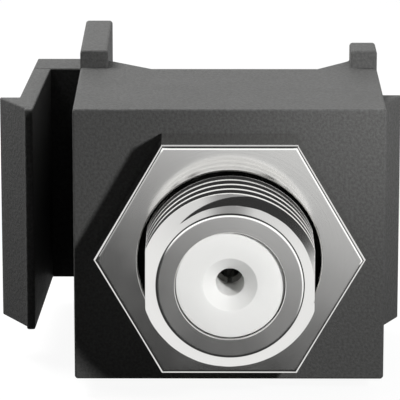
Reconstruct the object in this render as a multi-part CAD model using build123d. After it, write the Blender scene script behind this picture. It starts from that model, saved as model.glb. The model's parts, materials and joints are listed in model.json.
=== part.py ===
from build123d import *
import math
import os

# Snap-in wall port insert that holds a double-ended screw-on coaxial coupler.
# +Z is up and the port faces the viewer along -Y. The origin is on the coupler's
# axis, in the plane of the insert's front face. The insert lies on its side, with
# its spring latch on the left (-X) and its fixed catch lug on the right (+X).
# All lengths are in millimetres and all angles in degrees.

# Moulded block
block_width = 16.2
block_height = 14.5
block_depth = 10.2
edge_round = 0.12
corner_round = 0.18

# Side walls and the four ears that stop the insert in its panel
left_wall = 1.52
left_wall_end = 19.3
right_wall = 1.42
right_wall_end = 12.9
ear_front = 10.55
ear_rise = 0.95

# Webs that stiffen the walls at the top and bottom of the block's back
web_thickness = 1.5
left_web_width = 2.38
left_web_reach = 2.25
right_web_width = 1.83
right_web_reach = 2.2
right_web_round = 1.0

# Catches: both hold the panel at the same depth behind the front face
catch_depth = 8.3
lug_reach = 1.18
lug_ramp = 2.5
lug_land = 0.2
lug_height = 12.46

# Spring latch arm and the bridge that carries it
bridge_front = 15.9
bridge_thickness = 2.8
arm_gap = 1.87
arm_thickness = 1.0
arm_splay = 2.5
arm_height = 12.18
hook_reach = 1.05
hook_land = 0.15
hook_ramp = 2.5
nose_width = 0.45
nose_length = 0.44
nose_round = 0.12
arm_edge_round = 0.1

# Coupler body
thread_radius = 4.65
flat_half_width = 4.23
front_reach = 7.9
front_thread_length = 16.0
shoulder_flats = 11.0
shoulder_thickness = 3.0
rear_thread_length = 8.5
mouth_land_radius = 3.67
mouth_step = 0.08
mouth_chamfer = 0.9
relief_width = 0.7
relief_depth = 0.45
cavity_radius = 2.75
waist_radius = 2.3
shoulder_chamfer = 0.35

# Insulators and the contact between them
insulator_length = 5.0
insulator_recess = 0.3
insulator_gap = 0.03
funnel_radius = 1.36
funnel_depth = 0.55
pin_hole_radius = 0.71
pin_hole_length = 2.4
contact_radius = 0.95
contact_gap = 0.05
contact_waist_radius = 0.7
contact_bore_radius = 0.5
contact_bore_length = 6.5
contact_mouth_chamfer = 0.2
contact_slot = 0.24
contact_slot_length = 5.0
contact_finger_length = 7.5

# Nut
nut_flats = 12.05
nut_thickness = 3.0
nut_hole_gap = 0.08
nut_countersink = 0.13
nut_edge_round = 0.16

# Clearance of the coupler in the block
seat_gap = 0.1
shoulder_gap = 0.12

half_width = block_width / 2
half_height = block_height / 2
left_inside = -half_width + left_wall
right_inside = half_width - right_wall
coupler_front = -front_reach
shoulder_front = coupler_front + front_thread_length
shoulder_back = shoulder_front + shoulder_thickness
coupler_back = shoulder_back + rear_thread_length
mouth_outer_radius = thread_radius - mouth_chamfer + mouth_step


def box_between(low, high):
    """Block with its lowest and highest corners at the two points."""
    size = [high[i] - low[i] for i in range(3)]
    middle = [(high[i] + low[i]) / 2 for i in range(3)]
    return Pos(*middle) * Box(*size)


def plan_solid(points, low_z, high_z):
    """Closed outline in plan, drawn up from one height to another."""
    outline = make_face(Polyline(*points, close=True))
    return Pos(0, 0, low_z) * extrude(outline, amount=high_z - low_z, dir=(0, 0, 1))


def turned(profile):
    """Solid turned about the coupler's axis from (radius, y) points."""
    face = make_face(Polyline(*profile, close=True))
    return revolve(face, axis=Axis.Y)


def along_y(shape, start, length):
    """Sketch drawn in X and Z, carried back along the coupler's axis."""
    return extrude(Plane.XZ * shape, amount=length, dir=(0, 1, 0)).moved(Location((0, start, 0)))


def edges_at_y(solid, y):
    """Edges that lie flat at one depth."""
    return solid.edges().filter_by_position(Axis.Y, y - 0.001, y + 0.001)


def soften_ends(solid, height, radius, joined_sides):
    """Rounds the outlines of a plan solid's top and bottom faces.
    Each joined side, a pair of (x, y) corners, stays sharp: another part goes on from there."""
    joined = [((a[0] + b[0]) / 2, (a[1] + b[1]) / 2) for a, b in joined_sides]
    edges = []
    for edge in solid.edges():
        middle = edge.center()
        at_end = abs(abs(middle.Z) - height / 2) < 0.001
        if at_end and all(math.dist((middle.X, middle.Y), point) > 0.001 for point in joined):
            edges.append(edge)
    return fillet(edges, radius)


def hexagon(flats):
    """Hexagon by its width across flats, with two flats level."""
    return RegularPolygon(flats / 2, 6, major_radius=False, rotation=0)


def double_d(radius, half_width_x):
    """Circle cut by two upright flats."""
    return Circle(radius) & Rectangle(2 * half_width_x, 4 * radius)


def arm_inside(y):
    """X of the latch arm's inner face at a depth ahead of its root."""
    return -(half_width + arm_gap + (bridge_front - y) * math.tan(math.radians(arm_splay)))


def arm_outside(y):
    """X of the latch arm's outer face."""
    return arm_inside(y) - arm_thickness


def make_lug():
    """Fixed catch on the right: a ramp that ends in a square back face."""
    ramp_start = catch_depth - lug_ramp
    tip = half_width + lug_reach
    points = [
        (half_width - left_wall, ramp_start),
        (half_width, ramp_start),
        (tip, catch_depth - lug_land),
        (tip, catch_depth),
        (half_width - left_wall, catch_depth),
    ]
    lug = plan_solid(points, -lug_height / 2, lug_height / 2)
    return soften_ends(lug, lug_height, arm_edge_round, [(points[0], points[-1])])


def make_bridge():
    """Bar from the left wall out to the root of the latch arm."""
    bridge_back = bridge_front + bridge_thickness
    root_x = left_inside - left_wall / 2
    points = [
        (root_x, bridge_front),
        (arm_inside(bridge_front), bridge_front),
        (arm_outside(bridge_front), bridge_front),
        (arm_outside(bridge_back), bridge_back),
        (root_x, bridge_back),
    ]
    bridge = plan_solid(points, -arm_height / 2, arm_height / 2)
    return soften_ends(
        bridge, arm_height, arm_edge_round, [(points[0], points[-1]), (points[1], points[2])]
    )


def make_web(inside, width, reach, fillet_radius):
    """Corner web in plan: from the block's back out to a side wall."""
    side = math.copysign(1, inside)
    wall_middle = inside + side * min(left_wall, right_wall) / 2
    overlap = web_thickness / 2
    points = [
        (inside - side * width, block_depth),
        (inside, block_depth + reach),
        (wall_middle, block_depth + reach),
        (wall_middle, block_depth - overlap),
        (inside - side * width, block_depth - overlap),
    ]
    web = plan_solid(points, half_height - web_thickness, half_height)
    if fillet_radius:
        slope = math.atan2(reach, width)
        run = fillet_radius * math.tan((math.pi / 2 - slope) / 2)
        corner_y = block_depth + reach
        corner = plan_solid(
            [
                (inside + side * 0.01, corner_y - 0.01),
                (inside - side * run * math.cos(slope), corner_y - run * math.sin(slope)),
                (inside - side * fillet_radius, corner_y + run),
                (inside + side * 0.01, corner_y + run),
            ],
            half_height - web_thickness,
            half_height,
        )
        centre_x = inside - side * fillet_radius
        round_cut = Pos(centre_x, corner_y + run, half_height - web_thickness / 2) * Cylinder(
            fillet_radius, 2 * web_thickness
        )
        web = web + (corner - round_cut)
    return web


def make_wall(middle_x, thickness, back):
    """Side wall behind the block, with the column that stands proud of it as two ears.
    The column has rounded corners and ends, and the wall between it and the block is flush with both."""
    outline = RectangleRounded(block_width, block_height, corner_round)
    strip = Pos(middle_x, 0) * Rectangle(thickness, block_height)
    wall = along_y(outline & strip, block_depth / 2, back - 2 * corner_round - block_depth / 2)
    column_height = block_height + 2 * ear_rise
    column = Pos(middle_x, 0) * RectangleRounded(thickness, column_height, corner_round)
    column = along_y(column, ear_front, back - ear_front)
    column = fillet(edges_at_y(column, ear_front) + edges_at_y(column, back), edge_round)
    return wall + column


def make_housing():
    """One moulding: block, side walls, ears, webs, lug and latch bridge."""
    block = along_y(RectangleRounded(block_width, block_height, corner_round), 0, block_depth)
    block = fillet(edges_at_y(block, 0), edge_round)
    left = make_wall(left_inside - left_wall / 2, left_wall, left_wall_end)
    right = make_wall(right_inside + right_wall / 2, right_wall, right_wall_end)
    body = block + left + right + make_lug() + make_bridge()
    for inside, width, reach, radius in (
        (left_inside, left_web_width, left_web_reach, 0),
        (right_inside, right_web_width, right_web_reach, right_web_round),
    ):
        web = make_web(inside, width, reach, radius)
        body = body + web + mirror(web, about=Plane.XY)
    seat = along_y(double_d(thread_radius + seat_gap, flat_half_width + seat_gap), -1, shoulder_front + 1.5)
    pocket = along_y(hexagon(shoulder_flats + 2 * shoulder_gap), shoulder_front, shoulder_thickness + 2)
    return body - seat - pocket


def make_latch_arm():
    """Springy arm with its catch hook and blunt nose."""
    nose_y = catch_depth - hook_land - hook_ramp - nose_length
    ramp_start = nose_y + nose_length
    nose_out = arm_inside(nose_y) - nose_width
    hook_tip = arm_outside(catch_depth) - hook_reach
    points = [
        (arm_inside(bridge_front), bridge_front),
        (arm_inside(nose_y), nose_y),
        (nose_out, nose_y),
        (nose_out, ramp_start),
        (hook_tip, catch_depth - hook_land),
        (hook_tip, catch_depth),
        (arm_outside(catch_depth), catch_depth),
        (arm_outside(bridge_front), bridge_front),
    ]
    arm = plan_solid(points, -arm_height / 2, arm_height / 2)
    nose_edges = arm.edges().filter_by(Axis.Z).filter_by_position(Axis.Y, nose_y - 0.01, nose_y + 0.01)
    arm = fillet(nose_edges, nose_round)
    return soften_ends(arm, arm_height, arm_edge_round, [(points[0], points[-1])])


def make_hex_nut():
    """Hexagonal panel nut, threaded hole shown at its crest size."""
    nut = along_y(hexagon(nut_flats), -nut_thickness, nut_thickness)
    nut = fillet(edges_at_y(nut, -nut_thickness) + edges_at_y(nut, 0), nut_edge_round)
    hole_radius = thread_radius + nut_hole_gap
    hole = turned(
        [
            (0, -nut_thickness),
            (hole_radius + nut_countersink, -nut_thickness),
            (hole_radius, -nut_thickness + nut_countersink),
            (hole_radius, -nut_countersink),
            (hole_radius + nut_countersink, 0),
            (0, 0),
        ]
    )
    return nut - hole


def make_coupler_body():
    """Turned coupler body: two threaded ends and a hexagonal shoulder."""
    relief_radius = thread_radius - relief_depth
    front = turned(
        [
            (0, coupler_front),
            (mouth_land_radius, coupler_front),
            (mouth_outer_radius, coupler_front + mouth_step),
            (thread_radius, coupler_front + mouth_chamfer),
            (thread_radius, shoulder_front - relief_width),
            (relief_radius, shoulder_front - relief_width),
            (relief_radius, shoulder_front),
            (0, shoulder_front),
        ]
    )
    slab = box_between(
        (-flat_half_width, coupler_front - 1, -2 * thread_radius),
        (flat_half_width, shoulder_front, 2 * thread_radius),
    )
    front = front & slab
    shoulder = along_y(hexagon(shoulder_flats), shoulder_front, shoulder_thickness)
    corner_radius = shoulder_flats / math.sqrt(3)
    shoulder_form = turned(
        [
            (0, shoulder_front),
            (corner_radius + 1, shoulder_front),
            (corner_radius + 1, shoulder_back - shoulder_chamfer - math.tan(math.radians(30))),
            (corner_radius - shoulder_chamfer, shoulder_back),
            (0, shoulder_back),
        ]
    )
    shoulder = shoulder & shoulder_form
    rear = turned(
        [
            (0, shoulder_back),
            (relief_radius, shoulder_back),
            (relief_radius, shoulder_back + relief_width),
            (thread_radius, shoulder_back + relief_width),
            (thread_radius, coupler_back - mouth_chamfer),
            (mouth_outer_radius, coupler_back - mouth_step),
            (mouth_land_radius, coupler_back),
            (0, coupler_back),
        ]
    )
    seat_depth = insulator_recess + insulator_length
    cavity = turned(
        [
            (0, coupler_front - 1),
            (cavity_radius, coupler_front - 1),
            (cavity_radius, coupler_front + seat_depth),
            (waist_radius, coupler_front + seat_depth),
            (waist_radius, coupler_back - seat_depth),
            (cavity_radius, coupler_back - seat_depth),
            (cavity_radius, coupler_back + 1),
            (0, coupler_back + 1),
        ]
    )
    return front + shoulder + rear - cavity


def make_front_insulator():
    """White bead: a funnel leads the cable's pin into the contact behind."""
    face_y = coupler_front + insulator_recess
    hole_y = face_y + funnel_depth
    socket_y = hole_y + pin_hole_length
    back_y = face_y + insulator_length
    radius = cavity_radius - insulator_gap
    socket_radius = contact_radius + contact_gap
    return turned(
        [
            (funnel_radius, face_y),
            (radius, face_y),
            (radius, back_y),
            (socket_radius, back_y),
            (socket_radius, socket_y),
            (pin_hole_radius, socket_y),
            (pin_hole_radius, hole_y),
        ]
    )


def end_to_end(piece):
    """The same piece turned round to the coupler's other end."""
    return mirror(piece, about=Plane.XZ.offset(-(coupler_front + coupler_back) / 2))


def make_contact():
    """Double-ended spring contact, slotted into four fingers at each end."""
    lead = insulator_recess + funnel_depth + pin_hole_length + contact_gap
    start = coupler_front + lead
    middle = (coupler_front + coupler_back) / 2
    half = turned(
        [
            (contact_bore_radius + contact_mouth_chamfer, start),
            (contact_radius, start),
            (contact_radius, start + contact_finger_length),
            (contact_waist_radius, start + contact_finger_length),
            (contact_waist_radius, middle),
            (0, middle),
            (0, start + contact_bore_length),
            (contact_bore_radius, start + contact_bore_length),
            (contact_bore_radius, start + contact_mouth_chamfer),
        ]
    )
    reach = 2 * contact_radius
    for size in ((contact_slot, reach), (reach, contact_slot)):
        half = half - box_between(
            (-size[0] / 2, start - 1, -size[1] / 2),
            (size[0] / 2, start + contact_slot_length, size[1] / 2),
        )
    return half + end_to_end(half)


def main():
    os.makedirs("parts", exist_ok=True)
    front_insulator = make_front_insulator()
    parts = {
        "housing": make_housing(),
        "latch_arm": make_latch_arm(),
        "hex_nut": make_hex_nut(),
        "coupler_body": make_coupler_body(),
        "front_insulator": front_insulator,
        "rear_insulator": end_to_end(front_insulator),
        "centre_contact": make_contact(),
    }
    for name, shape in parts.items():
        export_step(shape, f"parts/{name}.step")


main()
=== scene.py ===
import json
import math

import bmesh
import bpy
import numpy as np
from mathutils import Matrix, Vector


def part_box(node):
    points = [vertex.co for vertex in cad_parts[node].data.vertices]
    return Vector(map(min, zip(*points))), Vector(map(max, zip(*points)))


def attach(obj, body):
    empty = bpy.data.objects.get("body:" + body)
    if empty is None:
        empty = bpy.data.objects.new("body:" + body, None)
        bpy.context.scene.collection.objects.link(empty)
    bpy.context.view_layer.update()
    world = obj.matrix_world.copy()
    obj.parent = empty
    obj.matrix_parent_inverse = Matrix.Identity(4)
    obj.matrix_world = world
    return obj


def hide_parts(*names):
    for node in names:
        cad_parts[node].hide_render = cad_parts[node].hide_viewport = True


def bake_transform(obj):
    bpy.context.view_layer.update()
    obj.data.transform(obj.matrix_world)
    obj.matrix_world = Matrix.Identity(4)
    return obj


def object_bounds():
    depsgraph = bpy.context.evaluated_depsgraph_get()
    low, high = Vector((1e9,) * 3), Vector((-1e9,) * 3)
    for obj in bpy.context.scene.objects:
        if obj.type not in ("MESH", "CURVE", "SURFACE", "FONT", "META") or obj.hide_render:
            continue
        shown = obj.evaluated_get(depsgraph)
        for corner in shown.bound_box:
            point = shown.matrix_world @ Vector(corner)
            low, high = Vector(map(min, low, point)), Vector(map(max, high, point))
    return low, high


bl_info = {
    "name": "Wall Port Coaxial Coupler",
    "version": (1, 0, 0),
    "blender": (4, 5, 0),
    "location": "View3D > Sidebar > Coupler",
    "description": "Dresses a snap-in wall port insert that holds a screw-on coaxial coupler",
    "category": "Object",
}

MM = 0.001
FULL_TURN = 2 * math.pi
QUARTER_TURN = math.pi / 2
EIGHTH_TURN = math.radians(45)
THIRTY_DEGREES = math.radians(30)

# Meshes: points closer than the weld distance become one, and edges that turn more than the sharp angle stay crisp.
WELD = 2e-7
SHARP_EDGE = math.radians(32)
SHARP_THREAD = math.radians(7.5)
TURN_STEP = math.radians(2.0)
BEAD_STEP = math.radians(3.0)
FLAT_COLUMNS = 29
MOUTH_ARC_POINTS = 10
FIRST_GROOVE_ROWS = (-1.15, 0.4, 75)
NUT_FACE_ROWS = (0.33, 0.67)
ARM_STEP = 0.35 * MM
HOOK_TO_NOSE_ROUND = 0.4

# Surfaces: heights of the bump patterns in metres, and how far the gloss strays from its middle.
GRAIN_HEIGHT = 3e-5
LINE_HEIGHT = 4e-6
MOTTLE_HEIGHT = 1e-5
BLACK_STRAY = 0.06
METAL_STRAY = 0.03
WHITE_STRAY = 0.05

# The room that gloss shows, by parts of the unit direction: front towards the camera's side, up towards +Z.
# Each pair is where a soft step starts and where it ends.
FRONT_DARK = (0.26, 0.38)
ROOM_UP = (0.1, 0.9)
OVERHEAD_UP = (0.88, 0.99)
BEHIND_FRONT = (-0.75, -0.9)
BEHIND_FOOT_UP = (0.05, 0.12)
BEHIND_HEAD_UP = (0.4, 0.6)
STRIP_SLOPE = 0.5
STRIP_FOOT = (-0.29, -0.195)
STRIP_PEAK = (-0.2, -0.15)
STRIP_HEAD_UP = (0.36, 0.46)
STRIP_FRONT = (0.72, 0.84)
FILL_FRONT = (0.15, -0.35)

SENSOR_WIDTH = 36.0
PHOTO_PIXELS = 400.0
CAMERA_CLIP = (0.01, 20.0)
FLOOR_HALF = 1.5
FLOOR_DROP = 2e-5
FLOOR_SEEN = 0.9

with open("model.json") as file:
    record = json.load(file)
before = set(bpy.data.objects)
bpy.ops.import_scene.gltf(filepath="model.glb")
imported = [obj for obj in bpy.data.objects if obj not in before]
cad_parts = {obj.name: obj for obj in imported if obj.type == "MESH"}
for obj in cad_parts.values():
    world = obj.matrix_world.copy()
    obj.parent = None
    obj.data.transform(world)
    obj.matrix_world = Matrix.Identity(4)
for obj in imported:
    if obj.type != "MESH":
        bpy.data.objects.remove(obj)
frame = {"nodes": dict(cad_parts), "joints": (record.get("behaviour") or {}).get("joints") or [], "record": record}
CAD_LOW, CAD_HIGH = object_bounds()
MOUNTS = {mount["name"]: mount for mount in frame["record"]["mounts"]}
THREAD_RADIUS = MOUNTS["rear_thread"]["dims"]["r_mm"] * MM
PIN_HOLE_RADIUS = MOUNTS["front_pin_hole"]["dims"]["r_mm"] * MM
PIN_HOLE_LENGTH = MOUNTS["front_pin_hole"]["dims"]["length_mm"] * MM
LATCH_ROOT = frame["joints"][0]["pos_m"]
CATCH_DEPTH = MOUNTS["lug_catch"]["pos_m"][1]


def length(name, description, default):
    """A size in metres that the user can change."""
    return bpy.props.FloatProperty(
        name=name, description=description, default=default, min=0.0, unit="LENGTH", precision=6
    )


def angle(name, description, degrees):
    """An angle, stored in radians and shown in degrees."""
    return bpy.props.FloatProperty(
        name=name, description=description, default=math.radians(degrees), subtype="ANGLE"
    )


def colour(name, description, default):
    """A surface colour, in linear values."""
    return bpy.props.FloatVectorProperty(
        name=name, description=description, default=default, size=3, min=0.0, max=1.0, subtype="COLOR"
    )


def share(name, description, default):
    """A plain number from 0 to 1."""
    return bpy.props.FloatProperty(
        name=name, description=description, default=default, min=0.0, max=1.0, subtype="FACTOR"
    )


class CouplerSettings(bpy.types.PropertyGroup):
    """Sizes of the turned coupler body."""

    thread_pitch: length("Thread pitch", "Distance from one thread crest to the next", 0.962 * MM)
    crest_radius: length("Crest radius", "From the axis to the thread's crests", 4.525 * MM)
    thread_depth: length("Thread depth", "Crest to root", 0.547 * MM)
    root_place: length("Root place", "From the middle of a crest back to the root behind it", 0.44 * MM)
    crest_width: length("Crest width", "Top of the thread, its rounded edges included", 0.26 * MM)
    crest_round: length("Crest round", "Rounded edges of the thread's crests", 0.03 * MM)
    first_crest: length("First crest", "Behind the mouth, at the coupler's top", 0.937 * MM)
    flat_half_width: length("Flat half width", "From the axis to each flat", 4.23 * MM)
    front_thread: length("Front thread", "From the front mouth to the shoulder", 16.0 * MM)
    shoulder_thickness: length("Shoulder thickness", "Along the axis", 3.0 * MM)
    shoulder_chamfer: length("Shoulder chamfer", "Turned edge of the hexagonal shoulder", 0.35 * MM)
    land_radius: length("Mouth land radius", "Outer edge of the flat mouth ring", 3.57 * MM)
    land_round: length("Mouth edge round", "Between the flat ring and the chamfer", 0.24 * MM)
    cavity_radius: length("Cavity radius", "Hole that the insulators sit in", 2.75 * MM)
    cavity_edge: length("Cavity edge", "Broken edge of the cavity's mouth", 0.03 * MM)
    waist_radius: length("Waist radius", "Narrow middle of the cavity", 2.3 * MM)
    seat_depth: length("Seat depth", "From the mouth to the insulator's seat", 5.3 * MM)
    relief_width: length("Relief width", "Groove between thread and shoulder", 0.7 * MM)
    relief_radius: length("Relief radius", "Bottom of the relief groove", 4.2 * MM)


class NutSettings(bpy.types.PropertyGroup):
    """Sizes of the hexagonal nut."""

    edge_round: length("Edge round", "Rounded edges of the faces", 0.2 * MM)
    hole_gap: length("Hole gap", "Between the hole and the thread's full size", 0.04 * MM)
    hole_round: length("Hole round", "Rounded edge of the hole", 0.08 * MM)


class InsulatorSettings(bpy.types.PropertyGroup):
    """Sizes of the white insulators."""

    funnel_radius: length("Funnel radius", "Mouth of the funnel", 1.36 * MM)
    funnel_depth: length("Funnel depth", "From the face to the pin hole", 0.55 * MM)
    hole_length: length("Pin hole length", "Straight part of the pin hole", PIN_HOLE_LENGTH)
    socket_radius: length("Socket radius", "Room for the contact behind the hole", 1.0 * MM)
    edge_round: length("Edge round", "Rounded outer edge", 0.04 * MM)


class LatchSettings(bpy.types.PropertyGroup):
    """Sizes of the spring latch."""

    arm_thickness: length("Arm thickness", "Across the springy arm", 1.0 * MM)
    splay: angle("Splay", "How far the arm leans out from the block", 2.5)
    hook_land: length("Hook land", "Blunt tip of the hook", 0.15 * MM)
    nose_width: length("Nose width", "Blunt front end of the arm", 0.45 * MM)
    nose_length: length("Nose length", "Ahead of the ramp", 0.44 * MM)
    nose_round: length("Nose round", "Rounded corners of the nose", 0.12 * MM)
    edge_round: length("Edge round", "Rounded long edges", 0.1 * MM)
    bend_length: length("Bend length", "Stretch of arm that bends when pressed", 5.0 * MM)


class FinishSettings(bpy.types.PropertyGroup):
    """Colours and roughness of the surfaces."""

    black: colour("Moulding", "Matt black plastic", (0.073, 0.073, 0.072))
    black_dark: colour("Moulding grain", "Darker speckle of the plastic", (0.052, 0.052, 0.051))
    nickel: colour("Coupler plating", "Bright nickel", (0.86, 0.855, 0.84))
    nut_nickel: colour("Nut plating", "Satin nickel", (0.82, 0.815, 0.8))
    white: colour("Insulator", "White moulding", (0.74, 0.74, 0.727))
    contact: colour("Contact", "Thin plate over spring bronze", (0.4, 0.395, 0.38))
    black_roughness: share("Moulding roughness", "Matt plastic", 0.55)
    black_specular: share("Moulding gloss", "Strength of the plastic's reflections", 0.03)
    nickel_roughness: share("Coupler roughness", "Bright plating", 0.13)
    nut_roughness: share("Nut roughness", "Satin plating", 0.105)
    contact_roughness: share("Contact roughness", "Thin plating", 0.25)
    white_roughness: share("Insulator roughness", "Smooth plastic", 0.35)
    nickel_lines: share("Coupler lines", "Strength of the turned lines", 0.04)
    nut_lines: share("Nut lines", "Strength of the turned lines", 0.05)
    contact_lines: share("Contact lines", "Strength of the turned lines", 0.2)
    white_glow: share("Insulator depth share", "Share of the light that goes in under the surface", 0.4)
    white_depth: length("Insulator depth", "How far that light goes in", 0.5 * MM)


class StudioSettings(bpy.types.PropertyGroup):
    """Camera and lights."""

    view_azimuth: angle("View azimuth", "Turn of the camera from straight ahead", -0.194)
    view_elevation: angle("View elevation", "Height of the camera above level", 14.08)
    view_distance: length("View distance", "From the camera to the point that it looks at", 166.563 * MM)
    target_x: bpy.props.FloatProperty(
        name="Target X", description="Point that the camera looks at", default=-1.521 * MM, unit="LENGTH"
    )
    target_z: bpy.props.FloatProperty(
        name="Target Z", description="Point that the camera looks at", default=2.448 * MM, unit="LENGTH"
    )
    focal_pixels: bpy.props.FloatProperty(
        name="Focal length", description="In pixels of a 400 pixel image", default=3216.15
    )
    key_place: bpy.props.FloatVectorProperty(
        name="Key place",
        description="Middle of the key light, to the right of the front",
        default=(28 * MM, -60 * MM, 24 * MM),
        subtype="TRANSLATION",
    )
    key_aim: bpy.props.FloatVectorProperty(
        name="Key aim",
        description="Brightest point of the key light, at the block's upper right corner",
        default=(9 * MM, 0.0, 8 * MM),
        subtype="TRANSLATION",
    )
    key_size: length("Key size", "Radius of the round key light", 3 * MM)
    key_cone: angle("Key cone", "Full angle at which the key light has faded to nothing", 90)
    key_power: bpy.props.FloatProperty(name="Key power", description="In watts", default=0.207, min=0.0)
    accent_aim: bpy.props.FloatVectorProperty(
        name="Accent aim",
        description="Point beside the block's upper right corner",
        default=(13 * MM, 0.0, 13 * MM),
        subtype="TRANSLATION",
    )
    accent_cone: angle("Accent cone", "Full angle at which the accent light has faded to nothing", 27)
    accent_power: bpy.props.FloatProperty(name="Accent power", description="In watts", default=0.2, min=0.0)
    top_place: bpy.props.FloatVectorProperty(
        name="Top place",
        description="Middle of the top light, behind and to the left",
        default=(-50 * MM, 30 * MM, 80 * MM),
        subtype="TRANSLATION",
    )
    top_size: length("Top size", "Width of the square top light", 60 * MM)
    top_power: bpy.props.FloatProperty(name="Top power", description="In watts", default=0.175, min=0.0)
    room_light: share("Room light", "Brightness of the pale room that gloss shows", 0.95)
    front_gloss: share("Front gloss", "Brightness that gloss shows behind the camera", 0.04)
    strip_light: bpy.props.FloatProperty(
        name="Strip light", description="Brightness of the low strip in front", default=0.85, min=0.0
    )
    strip_peak: bpy.props.FloatProperty(
        name="Strip peak", description="How much brighter the strip is near its top", default=1.6, min=0.0
    )
    back_light: bpy.props.FloatProperty(
        name="Back light", description="Brightness straight behind, that level faces show", default=1.5, min=0.0
    )
    upper_gloss: share("Upper gloss", "Brightness of the room high up, against the sides", 0.84)
    top_gloss: share("Top gloss", "Brightness that gloss shows straight above", 0.39)
    floor_bounce: share("Floor bounce", "How much light the floor throws back on the object", 0.05)
    floor_glow: share("Floor glow", "How far the camera sees the floor as white, not as lit", 0.93)
    back_fill: bpy.props.FloatProperty(
        name="Back fill", description="Soft light from behind", default=1.65, min=0.0
    )
    front_fill: share("Front fill", "Soft light from the front", 0.0)


def corner_angles(count, every):
    """Angles round a full turn, both ends included: even steps that land on each of the count corners."""
    steps = count * max(1, round(FULL_TURN / count / every))
    return np.linspace(0.0, FULL_TURN, steps + 1)


def finish_mesh(name, points, faces, material, sharp=SHARP_EDGE):
    """Mesh object from points and faces, welded where points coincide, with its faces outwards.
    Edges that turn by more than the sharp angle stay crisp."""
    mesh = bpy.data.meshes.new(name)
    mesh.from_pydata(points.tolist(), [], faces)
    work = bmesh.new()
    work.from_mesh(mesh)
    bmesh.ops.remove_doubles(work, verts=work.verts, dist=WELD)
    bmesh.ops.dissolve_degenerate(work, edges=work.edges, dist=WELD)
    bmesh.ops.recalc_face_normals(work, faces=work.faces)
    work.to_mesh(mesh)
    work.free()
    mesh.shade_smooth()
    mesh.set_sharp_from_angle(angle=sharp)
    mesh.materials.append(material)
    piece = bpy.data.objects.new(name, mesh)
    bpy.context.scene.collection.objects.link(piece)
    return piece


def turned_surface(name, radius, depth, turn, material, sharp=SHARP_EDGE):
    """Closed surface round the Y axis from two grids, radius and depth, over rows and turn angles:
    x is radius times cosine, z is radius times sine and y is depth. The last row joins the first."""
    x = radius * np.cos(turn)
    z = radius * np.sin(turn)
    points = np.stack(np.broadcast_arrays(x, depth, z), axis=-1).reshape(-1, 3)
    rows, columns = radius.shape
    row = np.arange(rows)[:, None]
    column = np.arange(columns - 1)[None, :]
    after = (row + 1) % rows
    quads = np.stack(
        [
            row * columns + column,
            row * columns + column + 1,
            after * columns + column + 1,
            after * columns + column,
        ],
        axis=-1,
    ).reshape(-1, 4)
    return finish_mesh(name, points, quads.tolist(), material, sharp)


def rings(profile, turn):
    """Rows of a plain turned profile: each (radius, depth) point is one row, the same at each turn."""
    profile = np.array(profile)
    radius = np.repeat(profile[:, :1], turn.size, axis=1)
    depth = np.repeat(profile[:, 1:], turn.size, axis=1)
    return radius, depth


def arc(centre, size, start, end, steps=5):
    """Points of an arc in the (radius, depth) plane; angle 0 points along depth, a quarter turn along radius."""
    t = np.linspace(start, end, steps)
    return np.stack([centre[0] + size * np.sin(t), centre[1] + size * np.cos(t)], axis=-1).tolist()


def hexagon_radius(apothem, turn):
    """Radius of a hexagon with a corner at angle 0: apothem over the cosine of the angle from the flat's middle."""
    sector = FULL_TURN / 6
    return apothem / np.cos(np.mod(turn, sector) - sector / 2)


def thread_outline(settings):
    """One pitch of the thread's outline, as (share of a pitch, fall below the crest) points: a flat crest with
    rounded edges, and two straight flanks that meet in a sharp root. It runs from one root to the next."""
    tilt = np.radians([0.0, 18.0, 36.0, 54.0])
    crest = settings.crest_round
    side = settings.crest_width / 2 + crest * (np.sin(tilt) - math.sin(tilt[-1]))
    drop = crest * (1 - np.cos(tilt))
    down = np.arange(1.0, 4.0) / 3
    root = settings.root_place
    behind = np.concatenate([side, side[-1] + (root - side[-1]) * down])
    ahead = np.concatenate([side, side[-1] + (settings.thread_pitch - root - side[-1]) * down])
    fall = np.concatenate([drop, drop[-1] + (settings.thread_depth - drop[-1]) * down])
    along = np.concatenate([-ahead[-2::-1], behind])
    return along / settings.thread_pitch, np.concatenate([fall[-2::-1], fall])


def thread_rows(settings, low, high, crest_at, turn, limit, fine_rows=()):
    """Rows that follow a right-handed thread from depth low to high.
    Each row is one point of the thread's outline, carried round the turn while it comes forward by one pitch,
    so row u at a full turn meets row u plus one pitch at no turn. Rows past an end are drawn in to that end's
    ring. limit(depth, turn) is the largest radius that the chamfers and flats allow. fine_rows are further rows,
    in pitches, for a clean edge where a chamfer cuts the thread."""
    pitch = settings.thread_pitch
    along, fall = thread_outline(settings)
    first = math.floor((low - crest_at) / pitch) - 1
    last = math.ceil((high - crest_at) / pitch) + 2
    whole = np.arange(first, last)
    coarse = (whole[:, None] + along[None, :]).reshape(-1)
    phase = np.unique(np.concatenate([coarse, fine_rows]))
    drop = np.interp(phase, coarse, np.tile(fall, whole.size))[:, None]
    phase = phase[:, None]
    depth = crest_at + pitch * (phase + 0.25 - turn[None, :] / FULL_TURN)
    inside = (depth > low) & (depth < high)
    depth = np.clip(depth, low, high)
    radius = np.where(inside, settings.crest_radius - drop, np.inf)
    radius = np.minimum(radius, limit(depth, turn[None, :]))
    return radius, depth


def coupler_angles(settings):
    """Even turn angles, with closer ones across each flat, which lies at no turn and at half a turn."""
    flat_edge = math.acos(settings.flat_half_width / settings.crest_radius)
    near_flats = np.linspace(-flat_edge, flat_edge, FLAT_COLUMNS)
    extra = [near_flats[near_flats > 0], near_flats + math.pi, near_flats[near_flats < 0] + FULL_TURN]
    turn = np.unique(np.round(np.concatenate([corner_angles(6, TURN_STEP)] + extra), 6))
    turn = turn[np.concatenate([[True], np.diff(turn) > 1e-4])]
    turn[-1] = FULL_TURN
    return turn


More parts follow.
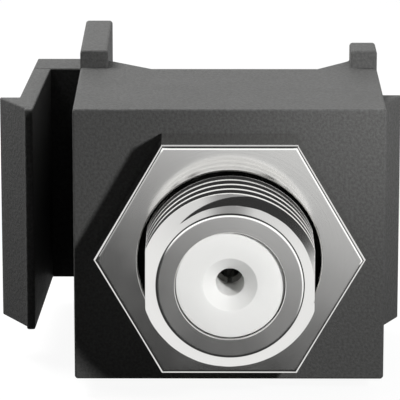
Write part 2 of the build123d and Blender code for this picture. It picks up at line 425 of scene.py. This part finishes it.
def shoulder_rows(settings, apothem, front, back, turn):
    """Rows of the hexagonal shoulder from its front edge to its rear one, where a cone turned at 30 degrees
    takes off the corners: the radius is the smaller of hexagon and cone."""
    slope = math.tan(THIRTY_DEGREES)
    corner = apothem / math.cos(THIRTY_DEGREES)
    turned_corner = corner - settings.shoulder_chamfer
    depths = np.linspace(back - (corner - turned_corner) * slope, back, 5)
    cone = turned_corner + (back - depths) / slope
    hexagon = hexagon_radius(apothem, turn)
    radius = np.vstack([hexagon[None, :], np.minimum(hexagon[None, :], cone[:, None])])
    depths = np.concatenate([[front], depths])
    return radius, np.repeat(depths[:, None], turn.size, axis=1)


def build_coupler(settings, material):
    """The turned body as one closed surface: mouth, front thread with its two flats, relief, hexagonal
    shoulder, relief, rear thread, rear mouth, and back through the cavity."""
    low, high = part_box("coupler_body")
    front, back = low.y, high.y
    shoulder_front = front + settings.front_thread
    shoulder_back = shoulder_front + settings.shoulder_thickness
    seat = settings.seat_depth
    turn = coupler_angles(settings)
    land_round = settings.land_round
    cone_radius = settings.land_radius + land_round * math.sin(EIGHTH_TURN)
    cone_inset = land_round * (1 - math.cos(EIGHTH_TURN))
    edge = settings.cavity_edge
    cavity = settings.cavity_radius

    def flats(depth, turn):
        return settings.flat_half_width / np.maximum(np.abs(np.cos(turn)), 1e-6) + 0 * depth

    def front_limit(depth, turn):
        cone = cone_radius + (depth - front - cone_inset)
        run_out = settings.relief_radius + (shoulder_front - settings.relief_width - depth)
        return np.minimum(np.minimum(cone, run_out), flats(depth, turn))

    def rear_limit(depth, turn):
        cone = cone_radius + (back - cone_inset - depth)
        run_out = settings.relief_radius + (depth - shoulder_back - settings.relief_width)
        return np.minimum(cone, run_out) + 0 * turn

    mouth = [(cavity, front + seat), (cavity, front + edge), (cavity + edge, front)]
    mouth += [(cavity + 3 * edge, front), (settings.land_radius - edge, front)]
    mouth_round = (settings.land_radius, front + land_round)
    mouth += arc(mouth_round, land_round, math.pi, math.pi - EIGHTH_TURN, MOUTH_ARC_POINTS)
    rear_round = (settings.land_radius, back - land_round)
    rear = arc(rear_round, land_round, EIGHTH_TURN, 0.0, MOUTH_ARC_POINTS)
    rear += [(settings.land_radius - edge, back), (cavity + 3 * edge, back)]
    rear += [(cavity + edge, back), (cavity, back - edge), (cavity, back - seat)]
    rear += [(settings.waist_radius, back - seat), (settings.waist_radius, front + seat)]
    front_thread = thread_rows(
        settings,
        front + cone_inset,
        shoulder_front - settings.relief_width,
        front + settings.first_crest,
        turn,
        front_limit,
        np.linspace(*FIRST_GROOVE_ROWS),
    )
    rear_thread = thread_rows(
        settings,
        shoulder_back + settings.relief_width,
        back - cone_inset,
        back - settings.first_crest,
        turn,
        rear_limit,
    )
    blocks = [
        rings(mouth, turn),
        front_thread,
        rings([(settings.relief_radius, shoulder_front)], turn),
        shoulder_rows(settings, high.z, shoulder_front, shoulder_back, turn),
        rings([(settings.relief_radius, shoulder_back)], turn),
        rear_thread,
        rings(rear, turn),
    ]
    radius = np.concatenate([block[0] for block in blocks])
    depth = np.concatenate([block[1] for block in blocks])
    piece = turned_surface("coupler_shell", radius, depth, turn, material, SHARP_THREAD)
    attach(piece, "insert")
    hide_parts("coupler_body")
    return piece


def build_nut(settings, material):
    """The nut as one closed surface: rows run over the hole's rounded edge, across the face to the hexagon,
    over its rounded edge, along the side and back. The radius of a face row is a mix of circle and hexagon.
    A row close inside each edge holds the face flat."""
    low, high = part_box("hex_nut")
    turn = corner_angles(6, TURN_STEP)
    apothem = high.z
    edge = settings.edge_round
    hole = THREAD_RADIUS + settings.hole_gap
    rim = hole + settings.hole_round
    hold = 0.1 * edge
    steps = np.linspace(0.0, QUARTER_TURN, 9)
    insets = edge * (1 - np.sin(steps))
    falls = edge * (1 - np.cos(steps))
    circle = np.ones_like(turn)
    hexagon = hexagon_radius(1.0, turn)
    face = [((rim + hold) * circle, 0.0)]
    face += [((rim + hold) * (1 - t) + (apothem - edge - hold) * hexagon * t, 0.0) for t in NUT_FACE_ROWS]
    face += [((apothem - edge - hold) * hexagon, 0.0)]
    face += [((apothem - inset) * hexagon, fall) for inset, fall in zip(insets, falls)]
    face += [(apothem * hexagon, edge + hold)]
    lip = [
        ((rim + settings.hole_round * math.sin(t)) * circle, settings.hole_round * (1 - math.cos(t)))
        for t in np.linspace(-QUARTER_TURN, 0.0, 6)
    ]
    front = [(radius, low.y + fall) for radius, fall in lip + face]
    back = [(radius, high.y - fall) for radius, fall in reversed(lip + face)]
    rows = front + back
    radius = np.stack([row[0] for row in rows])
    depth = np.repeat(np.array([[row[1]] for row in rows]), turn.size, axis=1)
    piece = turned_surface("nut_shell", radius, depth, turn, material)
    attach(piece, "insert")
    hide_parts("hex_nut")
    return piece


def build_insulator(node, settings, material):
    """A bead turned about the axis: rounded face edge, funnel, pin hole and the socket for the contact.
    side is 1 for the front bead and -1 for the rear one, which is the same bead turned round. soft is the
    small slope that takes the edge off the funnel's two rims."""
    low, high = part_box(node)
    side = 1 if high.y < (CAD_LOW.y + CAD_HIGH.y) / 2 else -1
    face = low.y if side == 1 else high.y
    back = high.y if side == 1 else low.y
    radius = high.x
    edge = settings.edge_round
    soft = edge * 0.6
    turn = corner_angles(6, BEAD_STEP)
    slope = math.atan2(settings.funnel_radius - PIN_HOLE_RADIUS, settings.funnel_depth)
    outline = [(settings.socket_radius, settings.funnel_depth + settings.hole_length)]
    outline += [(PIN_HOLE_RADIUS, settings.funnel_depth + settings.hole_length)]
    outline += [(PIN_HOLE_RADIUS, settings.funnel_depth + soft)]
    outline += [(PIN_HOLE_RADIUS + soft * 0.3, settings.funnel_depth)]
    outline += [(settings.funnel_radius - soft * math.sin(slope), soft * math.cos(slope))]
    outline += [(settings.funnel_radius, soft * 0.2), (settings.funnel_radius + soft, 0.0)]
    for t in np.linspace(0.0, QUARTER_TURN, 6):
        outline.append((radius - edge * (1 - math.sin(t)), edge * (1 - math.cos(t))))
    outline += [(radius, abs(back - face)), (settings.socket_radius, abs(back - face))]
    profile = [(point[0], face + side * point[1]) for point in outline]
    grid_radius, grid_depth = rings(profile, turn)
    piece = turned_surface(node + "_bead", grid_radius, grid_depth, turn, material)
    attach(piece, "insert")
    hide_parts(node)
    return piece


def rounded_outline(points, radii, steps=4):
    """Closed outline with its corners rounded: at each corner an arc of its radius touches both sides."""
    points = np.array(points)
    radii = np.maximum(np.array(radii), 1e-9)[:, None]
    to_last = np.roll(points, 1, axis=0) - points
    to_next = np.roll(points, -1, axis=0) - points
    to_last /= np.linalg.norm(to_last, axis=1)[:, None]
    to_next /= np.linalg.norm(to_next, axis=1)[:, None]
    half = 0.5 * np.arccos(np.clip((to_last * to_next).sum(1), -1, 1))[:, None]
    middle = to_last + to_next
    middle /= np.linalg.norm(middle, axis=1)[:, None]
    centre = points + middle * radii / np.sin(half)
    start = points + to_last * radii / np.tan(half) - centre
    end = points + to_next * radii / np.tan(half) - centre
    t = np.linspace(0.0, 1.0, steps)[None, :, None]
    spread = (QUARTER_TURN - half)[:, None, :]
    chord = np.sin(2 * spread) + 1e-12
    sweep = (np.sin((1 - t) * 2 * spread) * start[:, None] + np.sin(t * 2 * spread) * end[:, None]) / chord
    return (centre[:, None] + sweep).reshape(-1, 2)


def dense_outline(points, step):
    """The same closed outline with extra points on its long sides, no further apart than the step."""
    closed = np.vstack([points, points[:1]])
    run = np.concatenate([[0.0], np.cumsum(np.linalg.norm(np.diff(closed, axis=0), axis=1))])
    even = np.arange(0.0, run[-1], step)
    far = np.abs(even[:, None] - run[None, :]).min(axis=1) > step / 3
    at = np.sort(np.concatenate([run[:-1], even[far]]))
    return np.stack([np.interp(at, run, closed[:, 0]), np.interp(at, run, closed[:, 1])], axis=-1)


def upright_prism(name, outline, low, high, edge, material):
    """Outline in plan carried up from low to high, with a quarter round of the given size at both ends:
    near an end each section is the outline drawn in along its own normals. Flat faces close both ends."""
    ahead = np.roll(outline, -1, axis=0) - outline
    ahead /= np.linalg.norm(ahead, axis=1)[:, None]
    normal = np.stack([ahead[:, 1], -ahead[:, 0]], axis=-1)
    before = np.roll(normal, 1, axis=0)
    mitre = (normal + before) / (1 + (normal * before).sum(1))[:, None]
    area = (outline[:, 0] * np.roll(outline[:, 1], -1) - np.roll(outline[:, 0], -1) * outline[:, 1]).sum()
    mitre *= math.copysign(1.0, area)
    t = np.linspace(0.0, QUARTER_TURN, 5)
    inset = edge * (1 - np.sin(t))
    rise = edge * (1 - np.cos(t))
    insets = np.concatenate([inset, inset[::-1]])
    heights = np.concatenate([low + rise, high - rise[::-1]])
    plan = outline[None] - insets[:, None, None] * mitre[None]
    up = np.broadcast_to(heights[:, None, None], plan.shape[:2] + (1,))
    points = np.concatenate([plan, up], axis=-1).reshape(-1, 3)
    rows, columns = plan.shape[:2]
    row = np.arange(rows - 1)[:, None]
    column = np.arange(columns)[None, :]
    after = (column + 1) % columns
    quads = np.stack(
        [
            row * columns + column,
            row * columns + after,
            (row + 1) * columns + after,
            (row + 1) * columns + column,
        ],
        axis=-1,
    ).reshape(-1, 4)
    caps = [list(range(columns)), list(range((rows - 1) * columns, rows * columns))]
    return finish_mesh(name, points, quads.tolist() + caps, material)


def build_latch(settings, material):
    """The springy arm, one closed prism: straight arm, square hook back, ramp and blunt nose."""
    low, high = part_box("latch_arm")
    root_x, root_y = LATCH_ROOT[0], LATCH_ROOT[1]
    lean = math.tan(settings.splay)

    def inside(y):
        return root_x - (root_y - y) * lean

    def outside(y):
        return inside(y) - settings.arm_thickness

    nose_y = low.y
    nose_out = inside(nose_y) - settings.nose_width
    corners = [
        (inside(root_y), root_y),
        (outside(root_y), root_y),
        (outside(CATCH_DEPTH), CATCH_DEPTH),
        (low.x, CATCH_DEPTH),
        (low.x, CATCH_DEPTH - settings.hook_land),
        (nose_out, nose_y + settings.nose_length),
        (nose_out, nose_y),
        (inside(nose_y), nose_y),
    ]
    tip = HOOK_TO_NOSE_ROUND * settings.nose_round
    radii = [0.0, 0.0, tip, tip, tip, tip, settings.nose_round, settings.nose_round]
    outline = dense_outline(rounded_outline(corners, radii), ARM_STEP)
    outline = outline[np.linalg.norm(outline - np.roll(outline, 1, axis=0), axis=1) > WELD]
    piece = upright_prism("latch_spring", outline, low.z, high.z, settings.edge_round, material)
    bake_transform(piece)
    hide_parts("latch_arm")
    return piece


def new_material(name):
    """A new node material, its node tree and its shader."""
    material = bpy.data.materials.new(name)
    material.use_nodes = True
    tree = material.node_tree
    shader = tree.nodes["Principled BSDF"]
    return material, tree, shader


def add_node(tree, kind, **inputs):
    """A node of that kind; numbers go to its inputs, and a socket is joined to the input of that name."""
    node = tree.nodes.new(kind)
    for name, value in inputs.items():
        socket = node.inputs[name.replace("_", " ")]
        if isinstance(value, bpy.types.NodeSocket):
            tree.links.new(value, socket)
        else:
            socket.default_value = value
    return node


def object_place(tree):
    """The point's place on the piece, in metres."""
    return tree.nodes.new("ShaderNodeTexCoord").outputs["Object"]


def blend_colours(tree, factor, first, second):
    """Colour between two colours by a factor."""
    mix = tree.nodes.new("ShaderNodeMix")
    mix.data_type = "RGBA"
    tree.links.new(factor, mix.inputs["Factor"])
    mix.inputs["A"].default_value = (*first, 1.0)
    mix.inputs["B"].default_value = (*second, 1.0)
    return mix.outputs["Result"]


def uneven(tree, value, middle, stray):
    """Maps a value from 0 to 1 onto a band that strays to both sides of its middle."""
    node = add_node(tree, "ShaderNodeMapRange", Value=value)
    node.inputs["To Min"].default_value = middle - stray
    node.inputs["To Max"].default_value = middle + stray
    return node.outputs["Result"]


def bump(tree, height, strength, distance):
    """Surface normal from a height pattern."""
    return add_node(tree, "ShaderNodeBump", Height=height, Strength=strength, Distance=distance).outputs["Normal"]


def black_moulding(finish):
    """Matt black plastic: fine spark-eroded grain in colour and bump, and broad soft changes of gloss."""
    material, tree, shader = new_material("moulded_black_finish")
    place = object_place(tree)
    grain = add_node(tree, "ShaderNodeTexNoise", Vector=place, Scale=7000.0, Detail=3.0, Roughness=0.6)
    broad = add_node(tree, "ShaderNodeTexNoise", Vector=place, Scale=260.0, Detail=2.0)
    speckle = add_node(tree, "ShaderNodeMapRange", Value=grain.outputs["Fac"])
    speckle.inputs["From Min"].default_value = 0.35
    speckle.inputs["From Max"].default_value = 0.65
    grey = blend_colours(tree, speckle.outputs["Result"], finish.black_dark, finish.black)
    tree.links.new(grey, shader.inputs["Base Color"])
    gloss = uneven(tree, broad.outputs["Fac"], finish.black_roughness, BLACK_STRAY)
    tree.links.new(gloss, shader.inputs["Roughness"])
    tree.links.new(bump(tree, grain.outputs["Fac"], 1.0, GRAIN_HEIGHT), shader.inputs["Normal"])
    shader.inputs["Specular IOR Level"].default_value = finish.black_specular
    return material


def turned_metal(name, tint, roughness, line_strength):
    """Plated metal turned on a lathe: fine rings about the Y axis from noise of the distance to that axis,
    and a faint cloud in its gloss."""
    material, tree, shader = new_material(name)
    place = object_place(tree)
    flat = tree.nodes.new("ShaderNodeMapping")
    flat.inputs["Scale"].default_value = (1.0, 0.0, 1.0)
    tree.links.new(place, flat.inputs["Vector"])
    distance = tree.nodes.new("ShaderNodeVectorMath")
    distance.operation = "LENGTH"
    tree.links.new(flat.outputs["Vector"], distance.inputs[0])
    lines = tree.nodes.new("ShaderNodeTexNoise")
    lines.noise_dimensions = "1D"
    lines.inputs["Scale"].default_value = 9000.0
    lines.inputs["Detail"].default_value = 2.0
    tree.links.new(distance.outputs["Value"], lines.inputs["W"])
    cloud = add_node(tree, "ShaderNodeTexNoise", Vector=place, Scale=420.0, Detail=3.0)
    shader.inputs["Metallic"].default_value = 1.0
    darker = tuple(0.94 * value for value in tint)
    tree.links.new(blend_colours(tree, cloud.outputs["Fac"], darker, tint), shader.inputs["Base Color"])
    gloss = uneven(tree, cloud.outputs["Fac"], roughness, METAL_STRAY)
    tree.links.new(gloss, shader.inputs["Roughness"])
    tree.links.new(bump(tree, lines.outputs["Fac"], line_strength, LINE_HEIGHT), shader.inputs["Normal"])
    return material


def white_plastic(finish):
    """Smooth white moulding with a faint mottle and a little light let in under its surface."""
    material, tree, shader = new_material("white_insulator_finish")
    place = object_place(tree)
    mottle = add_node(tree, "ShaderNodeTexNoise", Vector=place, Scale=900.0, Detail=3.0)
    shade = tuple(0.965 * value for value in finish.white)
    tree.links.new(blend_colours(tree, mottle.outputs["Fac"], shade, finish.white), shader.inputs["Base Color"])
    gloss = uneven(tree, mottle.outputs["Fac"], finish.white_roughness, WHITE_STRAY)
    tree.links.new(gloss, shader.inputs["Roughness"])
    tree.links.new(bump(tree, mottle.outputs["Fac"], 0.1, MOTTLE_HEIGHT), shader.inputs["Normal"])
    shader.inputs["Subsurface Weight"].default_value = finish.white_glow
    shader.inputs["Subsurface Radius"].default_value = (1.0, 1.0, 1.0)
    shader.inputs["Subsurface Scale"].default_value = finish.white_depth
    return material


def dress(node, material):
    """Gives a CAD node its finish."""
    frame["nodes"][node].material_slots[0].material = material


def metal_of(finish, name):
    """The turned metal of the coupler, the nut or the contact, from the settings that start with its name."""
    tint = {"nickel": finish.nickel, "nut": finish.nut_nickel, "contact": finish.contact}[name]
    material_name = {"nickel": "coupler_nickel_finish", "nut": "nut_nickel_finish", "contact": "contact_finish"}[name]
    roughness = getattr(finish, name + "_roughness")
    return turned_metal(material_name, tuple(tint), roughness, getattr(finish, name + "_lines"))


class KEYSTONE_OT_housing(bpy.types.Operator):
    """Give the moulded housing its black finish"""

    bl_idname = "keystone.housing"
    bl_label = "Housing finish"

    def execute(self, context):
        dress("housing", black_moulding(context.scene.coupler_finish))
        return {"FINISHED"}


class KEYSTONE_OT_latch(bpy.types.Operator):
    """Build the spring latch arm"""

    bl_idname = "keystone.latch"
    bl_label = "Latch arm"

    def execute(self, context):
        build_latch(context.scene.coupler_latch, bpy.data.materials["moulded_black_finish"])
        return {"FINISHED"}


class KEYSTONE_OT_coupler(bpy.types.Operator):
    """Build the threaded coupler body"""

    bl_idname = "keystone.coupler"
    bl_label = "Coupler body"

    def execute(self, context):
        build_coupler(context.scene.coupler_body, metal_of(context.scene.coupler_finish, "nickel"))
        return {"FINISHED"}


class KEYSTONE_OT_nut(bpy.types.Operator):
    """Build the hexagonal nut"""

    bl_idname = "keystone.nut"
    bl_label = "Nut"

    def execute(self, context):
        build_nut(context.scene.coupler_nut, metal_of(context.scene.coupler_finish, "nut"))
        return {"FINISHED"}


class KEYSTONE_OT_insulators(bpy.types.Operator):
    """Build the two white insulators"""

    bl_idname = "keystone.insulators"
    bl_label = "Insulators"

    def execute(self, context):
        white = white_plastic(context.scene.coupler_finish)
        for node in ("front_insulator", "rear_insulator"):
            build_insulator(node, context.scene.coupler_insulator, white)
        return {"FINISHED"}


class KEYSTONE_OT_contact(bpy.types.Operator):
    """Give the centre contact its plated finish"""

    bl_idname = "keystone.contact"
    bl_label = "Contact finish"

    def execute(self, context):
        dress("centre_contact", metal_of(context.scene.coupler_finish, "contact"))
        return {"FINISHED"}


def view_direction(azimuth, elevation):
    """Unit vector from an eye at that azimuth and elevation towards the object."""
    level = math.cos(elevation)
    return Vector((math.sin(azimuth) * level, math.cos(azimuth) * level, -math.sin(elevation)))


def place_camera(studio):
    """Camera at the photograph's viewing angle, distance and framing."""
    camera = bpy.data.cameras.new("camera")
    camera.sensor_width = SENSOR_WIDTH
    camera.lens = studio.focal_pixels / PHOTO_PIXELS * camera.sensor_width
    camera.clip_start, camera.clip_end = CAMERA_CLIP
    eye = bpy.data.objects.new("camera", camera)
    bpy.context.scene.collection.objects.link(eye)
    forward = view_direction(studio.view_azimuth, studio.view_elevation)
    target = Vector((studio.target_x, 0.0, studio.target_z))
    eye.location = target - forward * studio.view_distance
    eye.rotation_euler = forward.to_track_quat("-Z", "Y").to_euler()
    bpy.context.scene.camera = eye
    return eye


def place_lamp(light, place, aim):
    """A lamp at a place, turned to its aim. Neither the camera nor the metal sees the lamp itself."""
    lamp = bpy.data.objects.new(light.name, light)
    lamp.location = place
    lamp.rotation_euler = (Vector(aim) - Vector(place)).to_track_quat("-Z", "Y").to_euler()
    lamp.visible_camera = False
    lamp.visible_glossy = False
    bpy.context.scene.collection.objects.link(lamp)
    return lamp


def front_light(studio, name, aim, cone, power):
    """Round soft light in front, brightest at its aim, that fades evenly to the edge of its cone. The key and
    the accent stand in one place, so each edge casts one shadow."""
    light = bpy.data.lights.new(name, "SPOT")
    light.shadow_soft_size = studio.key_size
    light.spot_size = cone
    light.spot_blend = 1.0
    light.energy = power
    return place_lamp(light, studio.key_place, aim)


def top_light(studio):
    """Large square soft light over the back, for the faces that look up and to the left."""
    light = bpy.data.lights.new("top", "AREA")
    light.size = studio.top_size
    light.energy = studio.top_power
    return place_lamp(light, studio.top_place, (0.0, 0.0, 0.0))


def compute(tree, operation, *values):
    """One sum on sockets and numbers."""
    node = tree.nodes.new("ShaderNodeMath")
    node.operation = operation
    for index, value in enumerate(values):
        if isinstance(value, bpy.types.NodeSocket):
            tree.links.new(value, node.inputs[index])
        else:
            node.inputs[index].default_value = value
    return node.outputs["Value"]


def soft_step(tree, value, step, low=0.0, high=1.0):
    """Smooth change from low to high while the value goes from the step's start to its end."""
    node = tree.nodes.new("ShaderNodeMapRange")
    node.interpolation_type = "SMOOTHSTEP"
    tree.links.new(value, node.inputs["Value"])
    for name, number in (("From Min", step[0]), ("From Max", step[1]), ("To Min", low), ("To Max", high)):
        node.inputs[name].default_value = number
    return node.outputs["Result"]


def mix_numbers(tree, factor, first, second):
    """Number between two by a factor."""
    mix = tree.nodes.new("ShaderNodeMix")
    mix.data_type = "FLOAT"
    tree.links.new(factor, mix.inputs["Factor"])
    for name, value in (("A", first), ("B", second)):
        if isinstance(value, bpy.types.NodeSocket):
            tree.links.new(value, mix.inputs[name])
        else:
            mix.inputs[name].default_value = value
    return mix.outputs["Result"]


def studio_world(studio):
    """Pale studio all round: white to the camera. Gloss shows a room that is bright at the sides, below and
    behind, a little dimmer above, and dark in front but for a low strip of light whose lower edge slopes down
    to the right. Diffuse surfaces get soft light from the sides and behind."""
    world = bpy.data.worlds.new("studio")
    bpy.context.scene.world = world
    world.use_nodes = True
    tree = world.node_tree
    back = tree.nodes["Background"]
    back.inputs["Color"].default_value = (1.0, 1.0, 1.0, 1.0)
    place = tree.nodes.new("ShaderNodeTexCoord").outputs["Generated"]
    axes = add_node(tree, "ShaderNodeSeparateXYZ", Vector=place)
    up = axes.outputs["Z"]
    front = compute(tree, "MULTIPLY", axes.outputs["Y"], -1.0)
    room = soft_step(tree, front, FRONT_DARK, studio.room_light, studio.front_gloss)
    upper = soft_step(tree, up, ROOM_UP, 1.0, studio.upper_gloss)
    shade = soft_step(tree, up, OVERHEAD_UP, 1.0, studio.top_gloss)
    room = compute(tree, "MULTIPLY", room, compute(tree, "MULTIPLY", upper, shade))
    behind = soft_step(tree, front, BEHIND_FRONT, 0.0, studio.back_light)
    foot = soft_step(tree, up, BEHIND_FOOT_UP)
    head = soft_step(tree, up, BEHIND_HEAD_UP, 1.0, 0.0)
    behind = compute(tree, "MULTIPLY", behind, compute(tree, "MULTIPLY", foot, head))
    height = compute(tree, "MULTIPLY_ADD", axes.outputs["X"], STRIP_SLOPE, up)
    above = soft_step(tree, height, STRIP_FOOT)
    peak = soft_step(tree, height, STRIP_PEAK, 1.0, studio.strip_peak)
    above = compute(tree, "MULTIPLY", above, peak)
    below = soft_step(tree, up, STRIP_HEAD_UP, 1.0, 0.0)
    ahead = soft_step(tree, front, STRIP_FRONT, 0.0, studio.strip_light)
    strip = compute(tree, "MULTIPLY", compute(tree, "MULTIPLY", above, below), ahead)
    gloss = compute(tree, "MAXIMUM", compute(tree, "MAXIMUM", room, strip), behind)
    fill = soft_step(tree, front, FILL_FRONT, studio.front_fill, studio.back_fill)
    path = tree.nodes.new("ShaderNodeLightPath")
    level = mix_numbers(tree, path.outputs["Is Diffuse Ray"], gloss, fill)
    level = mix_numbers(tree, path.outputs["Is Camera Ray"], level, 1.0)
    tree.links.new(level, back.inputs["Strength"])
    return world


def build_floor(studio):
    """Pale floor under the object: white to the camera but for a trace of the object's shadow, and darker to
    diffuse rays. Gloss doesn't see it."""
    half = FLOOR_HALF
    z = CAD_LOW.z - FLOOR_DROP
    corners = [(-half, -half, z), (half, -half, z), (half, half, z), (-half, half, z)]
    mesh = bpy.data.meshes.new("floor")
    mesh.from_pydata(corners, [], [(0, 1, 2, 3)])
    floor = bpy.data.objects.new("floor", mesh)
    bpy.context.scene.collection.objects.link(floor)
    material, tree, shader = new_material("floor_white")
    shader.inputs["Roughness"].default_value = 0.9
    path = tree.nodes.new("ShaderNodeLightPath")
    seen = path.outputs["Is Camera Ray"]
    pale = blend_colours(tree, seen, (studio.floor_bounce,) * 3, (FLOOR_SEEN,) * 3)
    tree.links.new(pale, shader.inputs["Base Color"])
    glow = add_node(tree, "ShaderNodeEmission")
    glow.inputs["Strength"].default_value = 1.0
    mix = tree.nodes.new("ShaderNodeMixShader")
    tree.links.new(compute(tree, "MULTIPLY", seen, studio.floor_glow), mix.inputs[0])
    tree.links.new(shader.outputs["BSDF"], mix.inputs[1])
    tree.links.new(glow.outputs["Emission"], mix.inputs[2])
    tree.links.new(mix.outputs["Shader"], tree.nodes["Material Output"].inputs["Surface"])
    mesh.materials.append(material)
    floor.visible_glossy = False
    return floor


class KEYSTONE_OT_studio(bpy.types.Operator):
    """Set the pale floor, the soft lights and the camera"""

    bl_idname = "keystone.studio"
    bl_label = "Studio"

    def execute(self, context):
        studio = context.scene.coupler_studio
        context.scene.view_settings.view_transform = "Standard"
        studio_world(studio)
        build_floor(studio)
        front_light(studio, "key", studio.key_aim, studio.key_cone, studio.key_power)
        front_light(studio, "accent", studio.accent_aim, studio.accent_cone, studio.accent_power)
        top_light(studio)
        place_camera(studio)
        return {"FINISHED"}


class KEYSTONE_PT_panel(bpy.types.Panel):
    """Lists the pieces and their sizes"""

    bl_idname = "KEYSTONE_PT_panel"
    bl_label = "Coaxial coupler insert"
    bl_space_type = "VIEW_3D"
    bl_region_type = "UI"
    bl_category = "Coupler"

    def draw(self, context):
        layout = self.layout
        for operator in OPERATORS:
            layout.operator(operator.bl_idname)
        for name in GROUPS:
            group = getattr(context.scene, name)
            box = layout.box()
            box.label(text=name.replace("_", " ").capitalize())
            for key in group.bl_rna.properties.keys():
                if key not in {"rna_type", "name"}:
                    box.prop(group, key)


GROUPS = {
    "coupler_body": CouplerSettings,
    "coupler_nut": NutSettings,
    "coupler_insulator": InsulatorSettings,
    "coupler_latch": LatchSettings,
    "coupler_finish": FinishSettings,
    "coupler_studio": StudioSettings,
}
OPERATORS = (
    KEYSTONE_OT_housing,
    KEYSTONE_OT_latch,
    KEYSTONE_OT_coupler,
    KEYSTONE_OT_nut,
    KEYSTONE_OT_insulators,
    KEYSTONE_OT_contact,
    KEYSTONE_OT_studio,
)


def register():
    for name, group in GROUPS.items():
        bpy.utils.register_class(group)
        setattr(bpy.types.Scene, name, bpy.props.PointerProperty(type=group))
    for item in OPERATORS + (KEYSTONE_PT_panel,):
        bpy.utils.register_class(item)


def unregister():
    for item in reversed(OPERATORS + (KEYSTONE_PT_panel,)):
        bpy.utils.unregister_class(item)
    for name, group in reversed(list(GROUPS.items())):
        delattr(bpy.types.Scene, name)
        bpy.utils.unregister_class(group)


def main():
    register()
    bpy.ops.keystone.housing()
    bpy.ops.keystone.latch()
    bpy.ops.keystone.coupler()
    bpy.ops.keystone.nut()
    bpy.ops.keystone.insulators()
    bpy.ops.keystone.contact()
    bpy.ops.keystone.studio()


if __name__ == "__main__":
    main()
